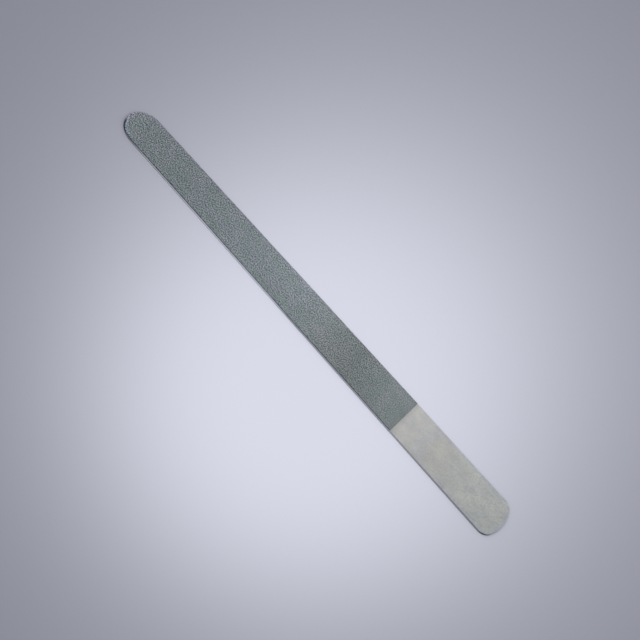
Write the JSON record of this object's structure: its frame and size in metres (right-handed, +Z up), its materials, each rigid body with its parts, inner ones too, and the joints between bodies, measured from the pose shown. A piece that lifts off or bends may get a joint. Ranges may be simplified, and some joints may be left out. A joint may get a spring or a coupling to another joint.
{
  "type": "nail file",
  "caption": "Straight double-sided nail file: a tapered steel strip with bonded grit on both faces and a bare satin steel handle.",
  "frame": {"origin": "centre of the bounding box, on the surface that the file lies on", "axes": "+X along the file, from the nose of the blade to the butt of the handle; +Z up, out of the front grit face"},
  "size_m": [0.18, 0.019, 0.001],
  "materials": {
    "satin_steel": "satin stainless steel with a faint lengthwise grain",
    "grit": "fine grey-green mineral grit, matt with a faint sparkle",
    "bond_film": "thin dark resin film"
  },
  "bodies": {
    "root": {"steel_blank": "satin_steel", "front_bond_film": "bond_film", "front_grit_layer": "grit", "back_bond_film": "bond_film", "back_grit_layer": "grit"}
  },
  "joints": []
}
